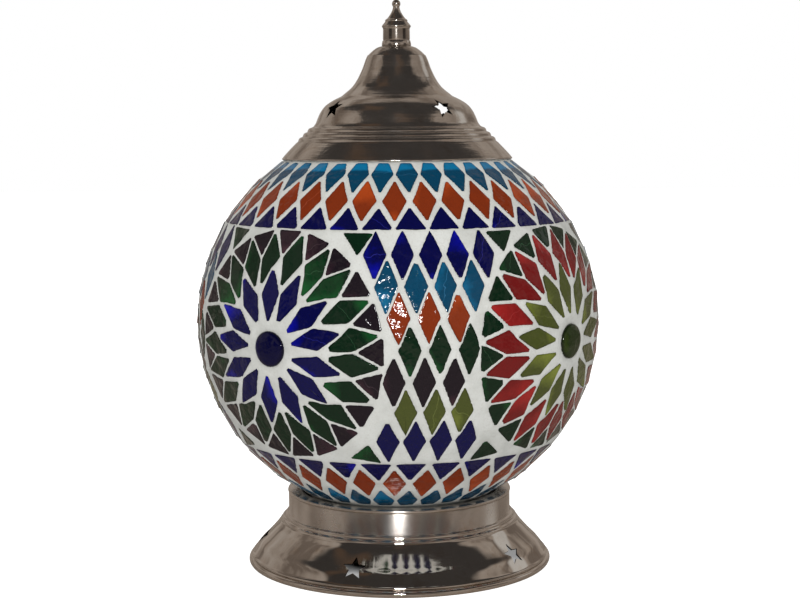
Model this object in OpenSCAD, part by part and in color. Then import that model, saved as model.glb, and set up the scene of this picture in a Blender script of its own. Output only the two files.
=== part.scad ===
// Mosaic glass table lamp: a round glass globe covered in cut-glass mosaic, standing in a
// flared spun-metal foot and closed by a domed spun-metal cap with a turned finial.
// Millimetres. Origin: centre of the foot on the table, +Z up. Longitude 0 faces -Y.

/* [Globe] */
// Widest radius of the globe, over its mosaic
globe_r = 125; // [122:0.5:128]
// Half height of the whole globe, pole to centre, over its mosaic
globe_h = 121; // [118:0.5:124]
// Height of the globe's centre above the table
globe_z = 152; // [151:0.5:153]
// Thickness of the blown glass
glass_t = 3; // [2:0.5:4]
// Radius of the opening at the top of the glass
top_mouth_r = 50; // [44:1:52]
// Radius of the opening at the bottom of the glass
bottom_mouth_r = 46; // [45.5:0.5:47]

/* [Mosaic] */
// Thickness of a cut-glass tile
tile_t = 2.3; // [1.5:0.1:2.5]
// Thickness of the plaster bed under the tiles
bed_t = 1; // [0.6:0.1:1.5]
// Length of the standard diamond tile
diamond_l = 29; // [24:0.5:29.5]
// Width of the standard diamond tile
diamond_w = 12.5; // [9:0.5:12.5]
// Base of a border triangle
triangle_w = 15; // [10:0.5:15]
// Height of a border triangle
triangle_l = 13.6; // [9:0.1:14]
// Tiles in each row of the top band
top_columns = 35; // [28:1:35]
// Tiles in each row of the bottom band
bottom_columns = 31; // [20:1:31]
// Radius of a medallion's cabochon
cabochon_r = 10.3; // [8:0.1:11]

/* [Foot] */
// Radius of the rolled rim that stands on the table
foot_r = 95.1; // [94:0.1:98]
// Radius of the upright collar around the globe's bottom
collar_r = 69.8; // [69.5:0.1:70.5]
// Height of the collar's top
collar_top = 46.2; // [46:0.1:46.4]
// Thickness of the spun metal
metal_t = 0.9; // [0.6:0.1:1.2]
// Star cut-outs round the foot
foot_stars = 5; // [3:1:8]
// Radius of the cable grommet's bore
cable_bore_r = 3.5; // [2.5:0.1:4]

/* [Cap] */
// Radius of the cap's lower rim
cap_r = 71.2; // [71:0.1:72]
// Height of the cap's lower rim above the table
cap_z = 251.9; // [251.8:0.1:252.2]
// Radius of the star cut-outs, over their points
star_r = 7.6; // [5:0.1:8]

/* [Lamp] */
// Radius of the bulb's glass
bulb_r = 30; // [25:1:32]
// Height of the bulb's centre contact above the table, screwed home
bulb_z = 66.2; // [66.2:0.1:67]

/* [Hidden] */
$fn = 96;

nickel = [0.62, 0.59, 0.55];
steel = [0.55, 0.55, 0.56];
brass = [0.72, 0.6, 0.32];
bakelite = [0.08, 0.07, 0.07];
navy = [0.02, 0.03, 0.3];
turquoise = [0.02, 0.36, 0.5];
orange = [0.68, 0.2, 0.06];
green = [0.04, 0.2, 0.09];
purple = [0.17, 0.1, 0.13];
olive = [0.33, 0.38, 0.1];
red = [0.55, 0.1, 0.1];
plaster = [0.85, 0.84, 0.78];

gap = 0.05;                          // between pieces that touch
globe_gap = 0.1;                     // between the globe's tiles, plaster and glass
tile_depth = 0.5;                    // depth of a tile's flat face at its middle
bed_out = tile_depth + tile_t + globe_gap; // depth of the plaster bed's face
glass_out = bed_out + bed_t;         // depth of the glass's outer face
grout_top_r = 56;                    // radius where the plaster stops, under the cap
grout_bottom_r = 51;                 // radius where the plaster stops, in the collar

// Heights on the globe, as latitudes from its centre
top_navy_lat = 34;
top_orange_lat = 39.7;
top_turquoise_lat = 49.6;
bottom_navy_lat = -39.4;
bottom_orange_lat = -44.7;
bottom_turquoise_lat = -55.2;
medallion_lat = -2.2;
corner_lats = [26.5, -31.5];

// Longitudes
medallion_lons = [-36, 54, 144, 234];
panel_lons = [9, 99, 189, 279];
panel_pitch = 7.9;
top_phase = -6.2;
bottom_phase = 4;
corner_lons = [23.2, 26];  // either side of a medallion
corner_shift = 1.2;        // of the upper corners, to the east
corner_lean = 12;          // turn of the lower corners towards their medallion

// Lattice rows, top to bottom: [latitude, number of tiles, longitude of the middle in the panel]
row_navy_upper = [23.4, 5, 0.3];
row_turquoise = [14.9, 4, -0.2];
row_orange = [6.8, 3, -1];
row_green = [-1.4, 3, 1.8];
row_purple = [-10, 3, -2.3];
row_olive = [-18.4, 3, 0.8];
row_navy_lower = [-27.5, 4, -0.4];

// Width and length of the larger triangles
top_triangle = [16.6, 14];
bottom_triangle = [16.6, 15];
upper_corner = [17.2, 13];
lower_corner = [17, 12.4];

// Arc from a medallion's middle to its tiles, in degrees
petal_arc = 14.4;
ring_arc = 24.2;
border_arc = 28.8;

// A medallion's petals leave wide and narrow valleys between them. The outer ring puts two tiles
// in a wide valley and one in a narrow one: their numbers, anticlockwise from the top petal, and
// the turn that centres the ring on the petals.
first_petal = 92.5;
narrow_valley = 25;
wide_valley = 29.375;
blue_ring = [[2, 2, 1, 2, 1, 2, 2, 2, 1, 2, 1, 2, 1], -5.9];
olive_ring = [[1, 2, 1, 2, 2, 1, 2, 2, 1, 2, 1, 2, 2], 4.9];
ring_count = 21;
ring_pitch = 360 / ring_count;
keep_to_valley = 0.35;     // 0 spaces the outer ring evenly, 1 puts its tiles over the valleys
pair_spread = 3.6;         // turn of the two inner tips in a wide valley, either side of its middle

plate_z = 37;
plate_t = 1.2;
holder_z = 43.2;
thread_r = 13.28;

// ---------- curves ----------

function turn(p, a) = [p[0] * cos(a) - p[1] * sin(a), p[0] * sin(a) + p[1] * cos(a)];
function unit(v) = v / norm(v);
function flip(list) = [for (i = [len(list) - 1:-1:0]) list[i]];

// Smooth curve through the points p, with n short pieces between each two
function spline(p, n = 5) = concat([for (i = [0:len(p) - 2], k = [0:n - 1])
    let (
        a = p[max(i - 1, 0)],
        b = p[i],
        c = p[i + 1],
        d = p[min(i + 2, len(p) - 1)],
        t = k / n
    )
    0.5 * (2 * b + (c - a) * t + (2 * a - 5 * b + 4 * c - d) * t * t
        + (3 * b - a - 3 * c + d) * t * t * t)], [p[len(p) - 1]]);

function arc(c, r, from, to, n = 8) =
    [for (i = [0:n]) let (a = from + (to - from) * i / n) [c[0] + r * cos(a), c[1] + r * sin(a)]];

// The outline p moved t to its left, along the mean normal at each point
function inset(p, t) = [for (i = [0:len(p) - 1])
    let (
        before = i == 0 ? p[1] - p[0] : p[i] - p[i - 1],
        after = i == len(p) - 1 ? p[i] - p[i - 1] : p[i + 1] - p[i],
        along = unit(unit(before) + unit(after))
    )
    p[i] + t * [-along[1], along[0]]];

module spun(outline) {
    rotate_extrude() polygon(outline);
}

module spun_sheet(outside, t) {
    spun(concat(outside, flip(inset(outside, t))));
}

module ring(outer, inner, z, h) {
    translate([0, 0, z]) difference() {
        cylinder(r = outer, h = h);
        translate([0, 0, -1]) cylinder(r = inner, h = h + 2);
    }
}

module hex_nut(flats, bore, z, h) {
    translate([0, 0, z]) difference() {
        cylinder(r = flats / 2 / cos(30), h = h, $fn = 6);
        translate([0, 0, -1]) cylinder(r = bore, h = h + 2);
    }
}

module star_2d(r) {
    polygon([for (i = [0:9]) turn([0, i % 2 == 0 ? r : 0.45 * r], 36 * i)]);
}

// ---------- places on the globe ----------

// Section of a globe surface that lies `depth` under the mosaic, from radius r0 below to r1 above
function globe_line(depth, r0, r1, n = 48) =
    let (
        a = globe_r - depth,
        b = globe_h - depth,
        from = -acos(r0 / a),
        to = acos(r1 / a)
    )
    [for (i = [0:n]) let (u = from + (to - from) * i / n) [a * cos(u), globe_z + b * sin(u)]];

// Puts a flat piece on the globe: its face touches the surface `depth` under the mosaic, its
// local Z points outward, and spin turns it anticlockwise from north.
module on_globe(lon, lat, spin, depth) {
    a = globe_r - depth;
    b = globe_h - depth;
    u = atan2(a * sin(lat), b * cos(lat));
    tilt = atan2(b * cos(u), a * sin(u));
    rotate([0, 0, lon]) translate([0, -a * cos(u), globe_z + b * sin(u)])
        rotate([tilt, 0, 0]) rotate([0, 0, spin]) children();
}

module tile(lon, lat, spin) {
    on_globe(lon, lat, spin, tile_depth) translate([0, 0, -tile_t])
        linear_extrude(height = tile_t) children();
}

// Unit vectors east, north and outward at a place on the globe
function out_at(lon, lat) = [cos(lat) * sin(lon), -cos(lat) * cos(lon), sin(lat)];
function east_at(lon) = [cos(lon), sin(lon), 0];
function north_at(lon, lat) = [-sin(lat) * sin(lon), sin(lat) * cos(lon), cos(lat)];

// Places children at an arc from a medallion's middle, in the direction `bearing` from east,
// with their local Y pointing away from the middle
module around_medallion(lon, bearing, arc_deg) {
    outward = out_at(lon, medallion_lat);
    way = east_at(lon) * cos(bearing) + north_at(lon, medallion_lat) * sin(bearing);
    place = outward * cos(arc_deg) + way * sin(arc_deg);
    heading = way * cos(arc_deg) - outward * sin(arc_deg);
    p_lon = atan2(place[0], -place[1]);
    p_lat = asin(place[2]);
    spin = atan2(heading * north_at(p_lon, p_lat), heading * east_at(p_lon)) - 90;
    tile(p_lon, p_lat, spin) children();
}

// A diamond, `wider` and `longer` than the standard one, with its lower tip `lean` to the side
module diamond(wider = 0, longer = 0, lean = 0) {
    w = (diamond_w + wider) / 2;
    l = (diamond_l + longer) / 2;
    polygon([[0, l], [-w, 0], [lean, -l], [w, 0]]);
}

// A slim diamond with its upper tip cut off `cut` above its middle, where it is cut_w wide
module cut_diamond(cut, cut_w) {
    w = 0.95 * diamond_w / 2;
    tip = 0.52 * diamond_l;
    polygon([[cut_w / 2, cut], [-cut_w / 2, cut], [-w, 0], [0, -tip], [w, 0]]);
}

// A triangle with its base up
module triangle(size = [triangle_w, triangle_l]) {
    w = size[0] / 2;
    l = size[1] / 2;
    polygon([[w, l], [-w, l], [0, -l]]);
}

module band(columns, phase, lat, spin = 0) {
    for (i = [0:columns - 1]) tile(phase + 360 / columns * i, lat, spin) children();
}

module lattice_row(row) {
    for (lon = panel_lons, i = [0:row[1] - 1])
        tile(lon + row[2] + (i - (row[1] - 1) / 2) * panel_pitch, row[0], 0) diamond();
}

module cabochon(lon) {
    crown = 2.6;
    ball = (cabochon_r * cabochon_r + crown * crown) / (2 * crown);
    half = asin(cabochon_r / ball);
    on_globe(lon, medallion_lat, 0, tile_depth) spun(concat(
        [[0, -tile_t], [cabochon_r, -tile_t]], arc([0, crown - ball], ball, 90 - half, 90)));
}

function valley(count) = count == 1 ? narrow_valley : wide_valley;
function valley_start(counts, i) =
    i == 0 ? first_petal : valley_start(counts, i - 1) + valley(counts[i - 1]);
function tiles_before(counts, i) = i == 0 ? 0 : tiles_before(counts, i - 1) + counts[i - 1];

// Bearings of each outer-ring tile and of its inner tip: the tips keep to the valleys, and the
// tiles lie between there and an even spacing
function ring_places(design) = [for (i = [0:len(design[0]) - 1], j = [0:design[0][i] - 1])
    let (
        counts = design[0],
        width = valley(counts[i]),
        middle = valley_start(counts, i) + width / 2,
        side = counts[i] == 1 ? 0 : 2 * j - 1,
        even = first_petal + design[1] + (tiles_before(counts, i) + j + 0.5) * ring_pitch
    )
    [even + keep_to_valley * (middle + side * width / 4 - even), middle + pair_spread * side]];

module petals(lon, design) {
    for (i = [0:len(design[0]) - 1])
        around_medallion(lon, valley_start(design[0], i), petal_arc) diamond(-1, 1);
}

module outer_ring(lon, design) {
    tip_r = globe_r * PI / 180 * ring_arc - diamond_l / 2;
    for (place = ring_places(design)) around_medallion(lon, place[0], ring_arc)
        diamond(0, 0.5, tip_r * sin(place[0] - place[1]));
}

// A triangle between every two tiles of the outer ring
module border(lon, design) {
    places = ring_places(design);
    for (i = [0:ring_count - 1]) {
        before = i == 0 ? places[ring_count - 1][0] - 360 : places[i - 1][0];
        around_medallion(lon, (before + places[i][0]) / 2, border_arc) triangle();
    }
}

// ---------- foot ----------

// Outside of the foot, from the table up to the lip that meets the globe
foot_outside = concat(
    [[foot_r - 4.6, 0], [foot_r - 1.8, 0]],
    arc([foot_r - 2, 2], 2, -70, 70),
    arc([foot_r - 3, 5.1], 1, -60, 60, 5),
    spline([[foot_r - 3.1, 6.6], [88.2, 11.5], [84.3, 15.4], [80.6, 19.3], [77.3, 23.1], [75.2, 26]]),
    arc([collar_r + 3.2, 27], 1.3, 0, 80, 5),
    arc([collar_r + 1, 29.6], 1.2, -20, 85, 5),
    [[collar_r, 31.2], [collar_r, collar_top - 2.8], [collar_r - 0.4, collar_top - 2.5]],
    arc([collar_r - 0.7, collar_top - 1.1], 1.1, -50, 90),
    [[63.5, collar_top], [61.8, collar_top - 0.4]]
);

foot_star_z = 14.6;
foot_star_r = 85.2;
foot_star_lon = -18.3;
foot_slope = 43;
cable_z = 13;
grommet_y = [76.5, 94.5];

module foot_shell() {
    color(nickel) difference() {
        spun_sheet(foot_outside, metal_t);
        for (i = [0:foot_stars - 1]) rotate([0, 0, foot_star_lon + 360 / foot_stars * i])
            translate([0, -foot_star_r, foot_star_z]) rotate([foot_slope, 0, 0])
                translate([0, 0, -6]) linear_extrude(height = 12) star_2d(star_r);
        translate([0, 0, cable_z]) rotate([-90, 0, 0]) cylinder(r = cable_bore_r + 1.5, h = 110);
    }
}

// A plastic bush in the back of the foot, with a flange inside and outside the wall
module cable_grommet() {
    color(bakelite) translate([0, grommet_y[0], cable_z]) rotate([-90, 0, 0]) {
        length = grommet_y[1] - grommet_y[0];
        difference() {
            union() {
                cylinder(r = cable_bore_r + 1.45, h = length);
                cylinder(r = cable_bore_r + 3, h = 2);
                translate([0, 0, length - 2]) cylinder(r = cable_bore_r + 3, h = 2);
            }
            translate([0, 0, -1]) cylinder(r = cable_bore_r, h = length + 2);
        }
    }
}

// Pressed plate across the collar: it carries the globe on its step and the lampholder in its middle
module seat_plate() {
    rim_r = collar_r - metal_t - gap;
    top = plate_z + plate_t;
    color(steel) difference() {
        spun([
            [5.15, plate_z], [rim_r - 1, plate_z], [rim_r - 1, plate_z - 6], [rim_r, plate_z - 6],
            [rim_r, top], [49.6, top], [49.6, 41.3], [44.7, 41.3], [44.7, 47], [43.5, 47],
            [43.5, top], [5.15, top]
        ]);
        for (i = [0:5]) rotate([0, 0, 30 + 60 * i]) translate([30, 0, plate_z - 1])
            cylinder(r = 5, h = 4);
        translate([0, 16, plate_z - 1]) cylinder(r = 1.65, h = 4);
    }
}

module seat_gasket() {
    color(bakelite) ring(49.4, 46.2, 41.35, 2);
}

module threaded_nipple() {
    color(brass) ring(5, 3.9, 27, 23);
}

module lower_lock_nut() {
    color(brass) hex_nut(14, 5.05, plate_z - 4.6, 3.5);
}

module upper_lock_nut() {
    color(brass) hex_nut(14, 5.05, plate_z + plate_t + 1.1, 3.5);
}

module nipple_washers() {
    color(steel) {
        ring(9, 5.1, plate_z - 1.05, 1);
        ring(9, 5.1, plate_z + plate_t + gap, 1);
    }
}

// Screw through the plate that takes the earth wire's ring, with its nut below
module earth_screw() {
    top = plate_z + plate_t + gap;
    color(brass) translate([0, 16, 0]) {
        translate([0, 0, plate_z - 6]) cylinder(r = 1.6, h = plate_t + 6 + gap);
        difference() {
            translate([0, 0, top]) cylinder(r = 3, h = 2);
            translate([-4, -0.4, top + 1.2]) cube([8, 0.8, 2]);
        }
        translate([0, 0, 0]) hex_nut(5.5, 1.6, plate_z - 2.5, 2.4);
    }
}

// ---------- lampholder ----------

module lampholder_body() {
    color(bakelite) difference() {
        spun([
            [5.03, holder_z], [9, holder_z], [10, holder_z + 4], [18.3, holder_z + 8],
            [18.3, 62], [0, 62], [0, 52], [5.03, 52]
        ]);
        for (s = [-1, 1]) {
            translate([s * 9.5, 0, 55]) cylinder(r = 2.05, h = 10);
            translate([0, s * 3, 50]) cylinder(r = 1.2, h = 14);
        }
    }
}

module lampholder_shell() {
    color(bakelite) difference() {
        spun([
            [14.5, 62.1], [19.6, 62.1], [19.6, 66], [20.4, 67], [20.4, 70], [19.6, 71],
            [18.6, 94], [14.5, 94]
        ]);
        for (i = [0:11]) rotate([0, 0, 30 * i]) translate([21.1, 0, 74]) cylinder(r = 1.6, h = 30);
    }
}

module lampholder_thread() {
    color(brass) spun([
        [thread_r, 62.1], [thread_r + 0.9, 62.1], [thread_r + 0.9, 94.05], [17, 94.05],
        [17, 94.9], [thread_r, 94.9]
    ]);
}

// Sprung tongue that the bulb's centre contact presses on
module lampholder_contact() {
    color(brass) {
        translate([-7.2, -1.7, 62.05]) cube([9.6, 3.4, 0.8]);
        translate([0, 0, 62.85]) cylinder(r = 1.6, h = bulb_z - 62.9);
    }
}

module terminal_screws() {
    color(brass) for (s = [-1, 1]) translate([s * 9.5, 0, 55.1]) difference() {
        cylinder(r = 2, h = 6.6);
        translate([-3, -0.35, 5.6]) cube([6, 0.7, 2]);
    }
}

// ---------- bulb ----------

module bulb_contact() {
    color(brass) translate([0, 0, bulb_z]) cylinder(r = 4.4, h = 1.2);
}

module bulb_insulator() {
    color(bakelite) spun([
        [0, bulb_z + 1.25], [5, bulb_z + 1.25], [10.8, bulb_z + 5.3], [12.6, bulb_z + 5.3],
        [12.6, bulb_z + 7], [0, bulb_z + 7]
    ]);
}

module bulb_screw_cap() {
    color(steel) ring(thread_r - 0.08, 12.75, bulb_z + 5.35, 20.5);
}

bulb_outside = spline([
    [12.6, bulb_z + 18], [12.6, bulb_z + 29], [14, bulb_z + 34.5], [18, bulb_z + 43],
    [25.5, bulb_z + 58], [bulb_r, bulb_z + 76], [27.6, bulb_z + 91], [19.5, bulb_z + 101.6],
    [9.5, bulb_z + 106], [0.9, bulb_z + 107]
], 4);

module bulb_envelope() {
    color([0.95, 0.95, 0.92, 0.4]) spun(concat(
        bulb_outside, [[0, bulb_z + 107], [0, bulb_z + 106.2]], flip(inset(bulb_outside, 0.8))
    ));
}

module bulb_stem() {
    color([0.9, 0.95, 0.95, 0.5]) spun(concat(
        [[0, bulb_z + 17]],
        spline([[11.6, bulb_z + 17], [11.2, bulb_z + 19], [5, bulb_z + 25], [3, bulb_z + 33],
            [2.6, bulb_z + 44], [1.8, bulb_z + 50]]),
        [[0, bulb_z + 51]]
    ));
}

// Four glowing rods on two rings of wire round the stem
module bulb_filaments() {
    color([0.95, 0.8, 0.35]) {
        for (i = [0:3]) rotate([0, 0, 45 + 90 * i]) translate([9, 0, bulb_z + 49])
            cylinder(r = 1, h = 34);
        ring(9.4, 8.6, bulb_z + 48.1, 0.85);
        ring(9.4, 8.6, bulb_z + 83.05, 0.8);
        ring(3.9, 3.2, bulb_z + 38, 0.85);
        for (s = [-1, 1]) translate([s * 9, 0, bulb_z + 38.85]) cylinder(r = 0.4, h = 9.2);
        for (s = [-1, 1]) translate([s * 6.6, 0, bulb_z + 38.4]) rotate([0, 90, 0])
            cylinder(r = 0.4, h = 5, center = true);
    }
}

// ---------- globe ----------

module globe_glass() {
    color([0.9, 0.92, 0.9, 0.5]) spun(concat(
        globe_line(glass_out, bottom_mouth_r, top_mouth_r),
        flip(globe_line(glass_out + glass_t, bottom_mouth_r, top_mouth_r))
    ));
}

// Plaster on the glass: a thin bed under the tiles, and full height at both ends
module grout_bed() {
    low_z = 47.6;
    high_z = 251.3;
    bed = [for (p = globe_line(bed_out, grout_bottom_r, grout_top_r, 72))
        if (p[1] > low_z && p[1] < high_z) p];
    face = globe_line(tile_depth, grout_bottom_r, grout_top_r, 72);
    color(plaster) spun(concat(
        [for (p = face) if (p[1] < low_z) p],
        bed,
        [for (p = face) if (p[1] > high_z) p],
        flip(globe_line(glass_out - globe_gap, grout_bottom_r, grout_top_r))
    ));
}

module top_turquoise_tiles() {
    color(turquoise) band(top_columns, top_phase, top_turquoise_lat) cut_diamond(9.6, 5.4);
}

module top_orange_tiles() {
    color(orange) band(top_columns, top_phase + 180 / top_columns, top_orange_lat)
        diamond(0.6, -1);
}

module top_navy_tiles() {
    color(navy) band(top_columns, top_phase, top_navy_lat, 180) triangle(top_triangle);
}

module bottom_navy_tiles() {
    color(navy) band(bottom_columns, bottom_phase, bottom_navy_lat) triangle(bottom_triangle);
}

module bottom_orange_tiles() {
    color(orange) band(bottom_columns, bottom_phase + 180 / bottom_columns, bottom_orange_lat)
        diamond(0.5, -1);
}

module bottom_turquoise_tiles() {
    color(turquoise) band(bottom_columns, bottom_phase, bottom_turquoise_lat, 180)
        cut_diamond(7.6, 7);
}

module lattice_navy_tiles() {
    color(navy) {
        lattice_row(row_navy_upper);
        lattice_row(row_navy_lower);
    }
}

module lattice_turquoise_tiles() {
    color(turquoise) lattice_row(row_turquoise);
}

module lattice_orange_tiles() {
    color(orange) lattice_row(row_orange);
}

module lattice_green_tiles() {
    color(green) lattice_row(row_green);
}

module lattice_purple_tiles() {
    color(purple) lattice_row(row_purple);
}

module lattice_olive_tiles() {
    color(olive) lattice_row(row_olive);
}

// Triangles that fill the corners between the medallions and the two bands
module corner_tiles() {
    color(green) for (lon = medallion_lons, side = [-1, 1]) {
        tile(lon + corner_shift + corner_lons[0] * side, corner_lats[0], 0) triangle(upper_corner);
        tile(lon + corner_lons[1] * side, corner_lats[1], 180 - corner_lean * side)
            triangle(lower_corner);
    }
}

module front_left_cabochon() { color(navy) cabochon(medallion_lons[0]); }
module front_left_petals() { color(navy) petals(medallion_lons[0], blue_ring); }
module front_left_ring() { color(green) outer_ring(medallion_lons[0], blue_ring); }
module front_left_border() { color(purple) border(medallion_lons[0], blue_ring); }
module front_right_cabochon() { color(olive) cabochon(medallion_lons[1]); }
module front_right_petals() { color(olive) petals(medallion_lons[1], olive_ring); }
module front_right_ring() { color(red) outer_ring(medallion_lons[1], olive_ring); }
module front_right_border() { color(green) border(medallion_lons[1], olive_ring); }
module back_right_cabochon() { color(navy) cabochon(medallion_lons[2]); }
module back_right_petals() { color(navy) petals(medallion_lons[2], blue_ring); }
module back_right_ring() { color(green) outer_ring(medallion_lons[2], blue_ring); }
module back_right_border() { color(purple) border(medallion_lons[2], blue_ring); }
module back_left_cabochon() { color(olive) cabochon(medallion_lons[3]); }
module back_left_petals() { color(olive) petals(medallion_lons[3], olive_ring); }
module back_left_ring() { color(red) outer_ring(medallion_lons[3], olive_ring); }
module back_left_border() { color(green) border(medallion_lons[3], olive_ring); }

// ---------- cap ----------

ridge_count = 3;
ridge_steps = 6;
ridge_h = 0.8;
ridge_from = [61.2, 263.2];
ridge_to = [52.6, 271.8];

// Small ring ridges along the straight slope between the skirt and the shoulder
function ridges() = [for (i = [0:ridge_count * ridge_steps])
    let (
        s = i / (ridge_count * ridge_steps),
        along = unit(ridge_to - ridge_from),
        lift = ridge_h * abs(sin(180 * ridge_count * s))
    )
    ridge_from + (ridge_to - ridge_from) * s + lift * [along[1], -along[0]]];

// Outside of the cap, from its rim up to the seat of the finial
cap_outside = concat(
    [[cap_r - 0.7, cap_z], [cap_r, cap_z + 0.4], [cap_r, cap_z + 1], [cap_r - 0.5, cap_z + 1.5]],
    spline([[70, 254.3], [66.6, 258], [62.5, 262.2]], 3),
    ridges(),
    spline([[51.6, 272.4], [50.2, 274.4], [48.7, 278], [46.8, 281.7], [43.9, 285.2], [39.5, 288.2],
        [34.2, 290.8]]),
    spline([[32.9, 291.9], [27.8, 296.2], [24.3, 301.1], [21.3, 307.2], [19.3, 312.6], [18, 315.6]]),
    spline([[17.2, 316.2], [15.2, 318.1], [12.2, 320.3], [9.6, 321.2]], 4),
    [[3.3, 321.2]]
);

cap_star_lons = [-57, 37, 140, 221];
cap_star_r = 45;
cap_star_z = 283;
cap_slope = 36;

module cap_shell() {
    color(nickel) difference() {
        spun_sheet(cap_outside, metal_t - 0.1);
        for (lon = cap_star_lons) rotate([0, 0, lon])
            translate([0, -cap_star_r, cap_star_z]) rotate([90 - cap_slope, 0, 0]) rotate([0, 0, 12])
                translate([0, 0, -6]) linear_extrude(height = 12) star_2d(star_r);
    }
}

// Ring soldered inside the cap, with a skirt that drops into the glass's top opening
module cap_locating_ring() {
    skirt_r = top_mouth_r - 0.8;
    color(steel) spun([
        [skirt_r - 0.9, 253], [skirt_r, 253], [skirt_r, 262.2], [59.9, 262.2], [59.9, 263.1],
        [skirt_r - 0.9, 263.1]
    ]);
}

finial_z = 321.25;

module finial() {
    z = finial_z;
    color(nickel) difference() {
        spun(concat(
            [[0, z], [9, z], [9, z + 1.4], [8.6, z + 3.3], [8.1, z + 3.8], [8.3, z + 4.4],
                [8.2, z + 10.4]],
            arc([7.9, z + 12.2], 1, -60, 50, 6),
            arc([6, z + 15.6], 0.9, -30, 70, 5),
            spline([[5.4, z + 17.1], [4.2, z + 18.8], [3.2, z + 20.4], [2.4, z + 22.2], [2, z + 23.7]]),
            arc([0, z + 25.9], 2.6, -38, 75, 12),
            [[0.5, z + 29.5], [0, z + 30.7]]
        ));
        translate([0, 0, z - 1]) cylinder(r = 3.05, h = 9);
    }
}

module finial_stud() {
    color(steel) translate([0, 0, finial_z - 11]) cylinder(r = 3, h = 18);
}

module finial_washer() {
    color(steel) ring(8, 3.1, finial_z - 1.95, 1);
}

module finial_nut() {
    color(steel) hex_nut(10, 3.05, finial_z - 7, 5);
}

foot_shell();
cable_grommet();
seat_plate();
seat_gasket();
threaded_nipple();
lower_lock_nut();
upper_lock_nut();
nipple_washers();
earth_screw();
lampholder_body();
lampholder_shell();
lampholder_thread();
lampholder_contact();
terminal_screws();
bulb_contact();
bulb_insulator();
bulb_screw_cap();
bulb_envelope();
bulb_stem();
bulb_filaments();
globe_glass();
grout_bed();
top_turquoise_tiles();
top_orange_tiles();
top_navy_tiles();
bottom_navy_tiles();
bottom_orange_tiles();
bottom_turquoise_tiles();
lattice_navy_tiles();
lattice_turquoise_tiles();
lattice_orange_tiles();
lattice_green_tiles();
lattice_purple_tiles();
lattice_olive_tiles();
corner_tiles();
front_left_cabochon();
front_left_petals();
front_left_ring();
front_left_border();
front_right_cabochon();
front_right_petals();
front_right_ring();
front_right_border();
back_right_cabochon();
back_right_petals();
back_right_ring();
back_right_border();
back_left_cabochon();
back_left_petals();
back_left_ring();
back_left_border();
cap_shell();
cap_locating_ring();
finial();
finial_stud();
finial_washer();
finial_nut();
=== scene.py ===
"""Looks of the mosaic glass table lamp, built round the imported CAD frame. Metres, +Z up, front at -Y."""
import math

import bmesh
import bpy
import numpy as np
from mathutils import Matrix, Vector
from mathutils.kdtree import KDTree


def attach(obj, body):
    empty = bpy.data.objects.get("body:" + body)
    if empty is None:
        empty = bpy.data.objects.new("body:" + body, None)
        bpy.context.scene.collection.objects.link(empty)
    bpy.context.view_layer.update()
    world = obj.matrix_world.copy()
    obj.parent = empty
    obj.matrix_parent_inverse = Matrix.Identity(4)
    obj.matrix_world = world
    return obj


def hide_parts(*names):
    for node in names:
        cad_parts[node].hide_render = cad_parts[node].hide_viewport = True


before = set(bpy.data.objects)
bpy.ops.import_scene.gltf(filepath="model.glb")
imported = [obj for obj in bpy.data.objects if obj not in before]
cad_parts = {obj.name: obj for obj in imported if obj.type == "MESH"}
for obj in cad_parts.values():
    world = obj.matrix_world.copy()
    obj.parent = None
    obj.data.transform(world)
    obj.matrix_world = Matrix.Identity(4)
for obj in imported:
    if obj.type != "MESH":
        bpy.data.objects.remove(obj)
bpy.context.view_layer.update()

MM = 0.001
RNG = np.random.default_rng(7)

# ---------- the globe's surface ----------

GLOBE_R = 0.125          # over the mosaic, at the widest point
GLOBE_H = 0.121          # half height, pole to centre
GLOBE_Z = 0.152
TILE_FACE = 0.5 * MM     # depth of a tile's face at its middle, under that surface
GLASS_FACE = 3.9 * MM    # depth of the glass's outer face
GROUT_LOW_R = 0.051      # the plaster stops at these radii, in the collar and under the cap
GROUT_HIGH_R = 0.056


def globe_point(u, lon, depth):
    """Place on the globe at ellipse parameter u and longitude lon, `depth` under the mosaic."""
    ring = (GLOBE_R - depth) * np.cos(u)
    return np.stack([ring * np.sin(lon), -ring * np.cos(lon),
                     GLOBE_Z + (GLOBE_H - depth) * np.sin(u)], axis=-1)


def globe_normal(points):
    """Outward unit normals of the globe at points near its surface."""
    rel = points - np.array([0, 0, GLOBE_Z])
    n = rel / np.array([GLOBE_R, GLOBE_R, GLOBE_H]) ** 2
    return n / np.linalg.norm(n, axis=-1, keepdims=True)


# ---------- small helpers ----------

def new_piece(name, verts, faces, body, replaces, material, smooth=True):
    """A mesh riding on a body, in place of CAD nodes, which it hides."""
    mesh = bpy.data.meshes.new(name)
    mesh.from_pydata([tuple(v) for v in verts], [], [tuple(f) for f in faces])
    mesh.update()
    piece = bpy.data.objects.new(name, mesh)
    bpy.context.collection.objects.link(piece)
    if smooth:
        mesh.shade_smooth()
    mesh.materials.append(material)
    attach(piece, body)
    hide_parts(*replaces)
    return piece


def add_float_attribute(mesh, name, values):
    layer = mesh.attributes.new(name, "FLOAT", "POINT")
    layer.data.foreach_set("value", np.asarray(values, dtype=np.float32))


def add_vector_attribute(mesh, name, values):
    layer = mesh.attributes.new(name, "FLOAT_VECTOR", "POINT")
    layer.data.foreach_set("vector", np.asarray(values, dtype=np.float32).ravel())


def spline(points, n):
    """Smooth curve through points, with n short pieces between each two."""
    p = np.array(points, dtype=float)
    out = []
    for i in range(len(p) - 1):
        a, b, c, d = p[max(i - 1, 0)], p[i], p[i + 1], p[min(i + 2, len(p) - 1)]
        for k in range(n):
            t = k / n
            out.append(0.5 * (2 * b + (c - a) * t + (2 * a - 5 * b + 4 * c - d) * t * t
                              + (3 * b - a - 3 * c + d) * t ** 3))
    return out + [p[-1]]


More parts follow.
